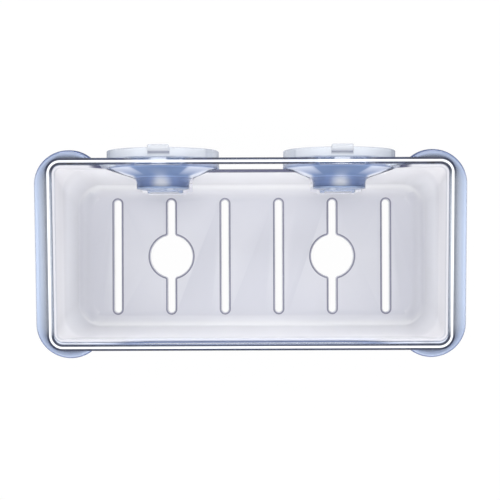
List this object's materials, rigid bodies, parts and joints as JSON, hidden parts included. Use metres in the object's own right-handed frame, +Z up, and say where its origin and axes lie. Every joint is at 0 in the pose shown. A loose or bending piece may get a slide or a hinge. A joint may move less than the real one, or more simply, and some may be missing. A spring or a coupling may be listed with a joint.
{
  "type": "kitchen sink caddy",
  "caption": "Clear basket that lever suction cups hold on a sink wall, with a slotted tray that lifts out.",
  "frame": {"origin": "middle of the caddy, on the plane that it stands on", "axes": "+X along the caddy, +Y towards the sink wall that it hangs on, +Z up"},
  "size_m": [0.2748, 0.1358, 0.0821],
  "materials": {
    "clear_plastic": "clear polished plastic with a faint blue cast",
    "milky_plastic": "milky translucent plastic with a fine satin surface",
    "soft_pad": "soft translucent plastic, smooth",
    "white_plastic": "white moulded plastic",
    "steel": "stainless steel wire"
  },
  "bodies": {
    "basket": {"basket": "clear_plastic", "left_hub_cap": "clear_plastic", "right_hub_cap": "clear_plastic", "left_thrust_washer": "white_plastic", "right_thrust_washer": "white_plastic"},
    "tray": {"tray": "milky_plastic"},
    "left_cup": {"left_suction_pad": "soft_pad", "left_pressure_plate": "white_plastic", "left_draw_stem": "white_plastic", "left_lever_pin": "steel"},
    "left_lever": {"left_lever": "clear_plastic"},
    "right_cup": {"right_suction_pad": "soft_pad", "right_pressure_plate": "white_plastic", "right_draw_stem": "white_plastic", "right_lever_pin": "steel"},
    "right_lever": {"right_lever": "clear_plastic"}
  },
  "joints": [
    {"name": "tray_lift", "type": "slide", "parent": "basket", "child": "tray", "axis": [0, 0, 1], "range_m": [0, 0.085]},
    {"name": "left_cup_release", "type": "slide", "parent": "basket", "child": "left_cup", "axis": [0, 1, 0], "range_m": [0, 0.0025]},
    {"name": "left_lever_flip", "type": "hinge", "parent": "left_cup", "child": "left_lever", "pos_m": [-0.058, 0.04595, 0.042], "axis": [-1, 0, 0], "range_deg": [0, 90]},
    {"name": "right_cup_release", "type": "slide", "parent": "basket", "child": "right_cup", "axis": [0, 1, 0], "range_m": [0, 0.0025]},
    {"name": "right_lever_flip", "type": "hinge", "parent": "right_cup", "child": "right_lever", "pos_m": [0.058, 0.04595, 0.042], "axis": [-1, 0, 0], "range_deg": [0, 90]}
  ],
  "couplings": [
    {"joint": "left_lever_flip", "follows": "left_cup_release", "rad_per_m": 628},
    {"joint": "right_lever_flip", "follows": "right_cup_release", "rad_per_m": 628}
  ]
}
